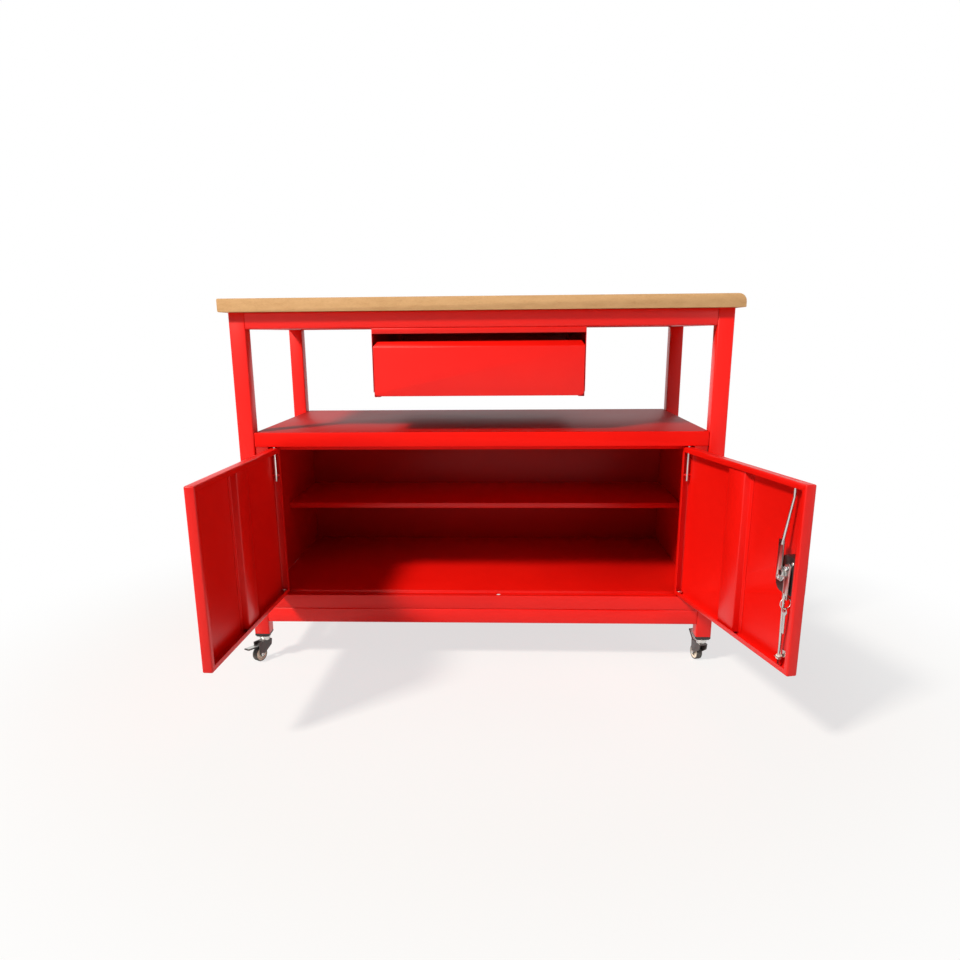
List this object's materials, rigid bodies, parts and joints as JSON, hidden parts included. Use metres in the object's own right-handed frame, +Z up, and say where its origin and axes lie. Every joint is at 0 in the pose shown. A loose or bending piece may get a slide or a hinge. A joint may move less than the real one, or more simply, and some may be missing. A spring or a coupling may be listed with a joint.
{
  "type": "workbench",
  "caption": "Mobile steel workbench with a board top, hung drawer, lockable two-door cabinet with inner shelf, and swivel casters.",
  "frame": {"origin": "bottom centre of the bounding box with both doors open as stored, on the floor", "axes": "+X to the right seen from the front, +Y from the front to the back, +Z up; the doors and drawer open towards -Y"},
  "size_m": [1.2204, 1.0732, 0.9003],
  "materials": {
    "board": "fine-grained pressed board, sanded, no varnish",
    "red_powder_coat": "smooth glossy red powder coat on sheet and tube steel",
    "zinc_plate": "bright zinc plating",
    "chrome_plate": "polished chrome",
    "black_plastic": "satin moulded black nylon",
    "dark_fork_coat": "dark brown-black coat on pressed steel",
    "cream_nylon": "moulded cream nylon",
    "grey_rubber": "dark grey non-marking tread"
  },
  "bodies": {
    "bench": {"worktop": "board", "leg_front_left": "red_powder_coat", "leg_front_right": "red_powder_coat", "leg_back_left": "red_powder_coat", "leg_back_right": "red_powder_coat", "top_rail_front": "red_powder_coat", "top_rail_back": "red_powder_coat", "top_rail_left": "red_powder_coat", "top_rail_right": "red_powder_coat", "base_rail_front": "red_powder_coat", "base_rail_back": "red_powder_coat", "base_rail_left": "red_powder_coat", "base_rail_right": "red_powder_coat", "cabinet_top": "red_powder_coat", "cabinet_side_left": "red_powder_coat", "cabinet_side_right": "red_powder_coat", "cabinet_back": "red_powder_coat", "cabinet_floor": "red_powder_coat", "inner_shelf": "red_powder_coat", "drawer_housing": "red_powder_coat", "runner_outer_left": "zinc_plate", "runner_outer_right": "zinc_plate", "caster_cap_front_left": "black_plastic", "caster_cap_front_right": "black_plastic", "caster_cap_back_left": "black_plastic", "caster_cap_back_right": "black_plastic"},
    "drawer": {"drawer_front": "red_powder_coat", "drawer_tray": "red_powder_coat", "runner_inner_left": "zinc_plate", "runner_inner_right": "zinc_plate"},
    "door_left": {"door_left_shell": "red_powder_coat", "door_left_stiffener": "red_powder_coat", "door_left_lower_pin": "zinc_plate"},
    "left_upper_pin": {"door_left_upper_pin": "zinc_plate"},
    "door_right": {"door_right_shell": "red_powder_coat", "door_right_stiffener": "red_powder_coat", "door_right_lower_pin": "zinc_plate", "lock_housing": "black_plastic", "lock_rod_guide": "zinc_plate"},
    "right_upper_pin": {"door_right_upper_pin": "zinc_plate"},
    "lock_turn": {"lock_grip": "black_plastic", "lock_cam": "chrome_plate"},
    "rod_upper": {"lock_rod_upper": "zinc_plate"},
    "rod_lower": {"lock_rod_lower": "zinc_plate"},
    "ring": {"key_ring": "zinc_plate"},
    "hanging_key": {"key": "zinc_plate"},
    "fork_front_left": {"caster_fork_front_left": "dark_fork_coat"},
    "wheel_front_left": {"caster_hub_front_left": "cream_nylon", "caster_tyre_front_left": "grey_rubber"},
    "fork_front_right": {"caster_fork_front_right": "dark_fork_coat"},
    "wheel_front_right": {"caster_hub_front_right": "cream_nylon", "caster_tyre_front_right": "grey_rubber"},
    "fork_back_left": {"caster_fork_back_left": "dark_fork_coat"},
    "wheel_back_left": {"caster_hub_back_left": "cream_nylon", "caster_tyre_back_left": "grey_rubber"},
    "fork_back_right": {"caster_fork_back_right": "dark_fork_coat"},
    "wheel_back_right": {"caster_hub_back_right": "cream_nylon", "caster_tyre_back_right": "grey_rubber"},
    "pedal_front_left": {"brake_pedal_front_left": "black_plastic"},
    "pedal_front_right": {"brake_pedal_front_right": "black_plastic"}
  },
  "joints": [
    {"name": "drawer_slide", "type": "slide", "parent": "bench", "child": "drawer", "axis": [0, -1, 0], "range_m": [0, 0.38]},
    {"name": "door_left_hinge", "type": "hinge", "parent": "bench", "child": "door_left", "pos_m": [-0.5075, -0.03894, 0.3688], "axis": [0, 0, -1], "range_deg": [-92, 13]},
    {"name": "door_right_hinge", "type": "hinge", "parent": "bench", "child": "door_right", "pos_m": [0.4909, -0.03894, 0.3688], "axis": [0, 0, 1], "range_deg": [-102.7, 2.3]},
    {"name": "left_upper_pin_slide", "type": "slide", "parent": "door_left", "child": "left_upper_pin", "axis": [0, 0, -1], "range_m": [0, 0.012], "stiffness_N_per_m": 200, "springref_m": -0.01},
    {"name": "right_upper_pin_slide", "type": "slide", "parent": "door_right", "child": "right_upper_pin", "axis": [0, 0, -1], "range_m": [0, 0.012], "stiffness_N_per_m": 200, "springref_m": -0.01},
    {"name": "rod_upper_slide", "type": "slide", "parent": "door_right", "child": "rod_upper", "axis": [0, 0, 1], "range_m": [0, 0.0226]},
    {"name": "rod_lower_slide", "type": "slide", "parent": "door_right", "child": "rod_lower", "axis": [0, 0, -1], "range_m": [0, 0.0226]},
    {"name": "lock_grip_turn", "type": "hinge", "parent": "door_right", "child": "lock_turn", "pos_m": [0.6003, -0.48346, 0.3798], "axis": [0.9755, 0.2199, 0], "range_deg": [0, 90]},
    {"name": "key_ring_swing", "type": "hinge", "parent": "rod_lower", "child": "ring", "pos_m": [0.5804, -0.50589, 0.3355], "axis": [-0.2199, 0.9755, 0], "range_deg": [0, 20]},
    {"name": "key_swing", "type": "hinge", "parent": "ring", "child": "hanging_key", "pos_m": [0.5804, -0.50589, 0.3135], "axis": [-0.9755, -0.2199, 0], "range_deg": [-10, 35]},
    {"name": "caster_swivel_front_left", "type": "hinge", "parent": "bench", "child": "fork_front_left", "pos_m": [-0.5713, -0.02894, 0.06], "axis": [0, 0, 1], "continuous": true},
    {"name": "wheel_spin_front_left", "type": "hinge", "parent": "fork_front_left", "child": "wheel_front_left", "pos_m": [-0.5818, -0.04712, 0.019], "axis": [0.866, -0.5, 0], "continuous": true},
    {"name": "caster_swivel_front_right", "type": "hinge", "parent": "bench", "child": "fork_front_right", "pos_m": [0.5547, -0.02894, 0.06], "axis": [0, 0, 1], "continuous": true},
    {"name": "wheel_spin_front_right", "type": "hinge", "parent": "fork_front_right", "child": "wheel_front_right", "pos_m": [0.54962, -0.00856, 0.019], "axis": [-0.9703, -0.2419, 0], "continuous": true},
    {"name": "caster_swivel_back_left", "type": "hinge", "parent": "bench", "child": "fork_back_left", "pos_m": [-0.5713, 0.49706, 0.06], "axis": [0, 0, 1], "continuous": true},
    {"name": "wheel_spin_back_left", "type": "hinge", "parent": "fork_back_left", "child": "wheel_back_left", "pos_m": [-0.56412, 0.5168, 0.019], "axis": [-0.9397, 0.342, 0], "continuous": true},
    {"name": "caster_swivel_back_right", "type": "hinge", "parent": "bench", "child": "fork_back_right", "pos_m": [0.5547, 0.49706, 0.06], "axis": [0, 0, 1], "continuous": true},
    {"name": "wheel_spin_back_right", "type": "hinge", "parent": "fork_back_right", "child": "wheel_back_right", "pos_m": [0.54582, 0.5161, 0.019], "axis": [-0.9063, -0.4226, 0], "continuous": true},
    {"name": "brake_pedal_turn_front_left", "type": "hinge", "parent": "fork_front_left", "child": "pedal_front_left", "pos_m": [-0.5833, -0.04972, 0.0423], "axis": [0.866, -0.5, 0], "range_deg": [-42, 3]},
    {"name": "brake_pedal_turn_front_right", "type": "hinge", "parent": "fork_front_right", "child": "pedal_front_right", "pos_m": [0.54889, -0.00565, 0.0423], "axis": [-0.9703, -0.2419, 0], "range_deg": [0, 45]}
  ],
  "couplings": [
    {"joint": "lock_grip_turn", "follows": "rod_upper_slide", "rad_per_m": 69.421},
    {"joint": "rod_lower_slide", "follows": "rod_upper_slide", "ratio": 1}
  ]
}
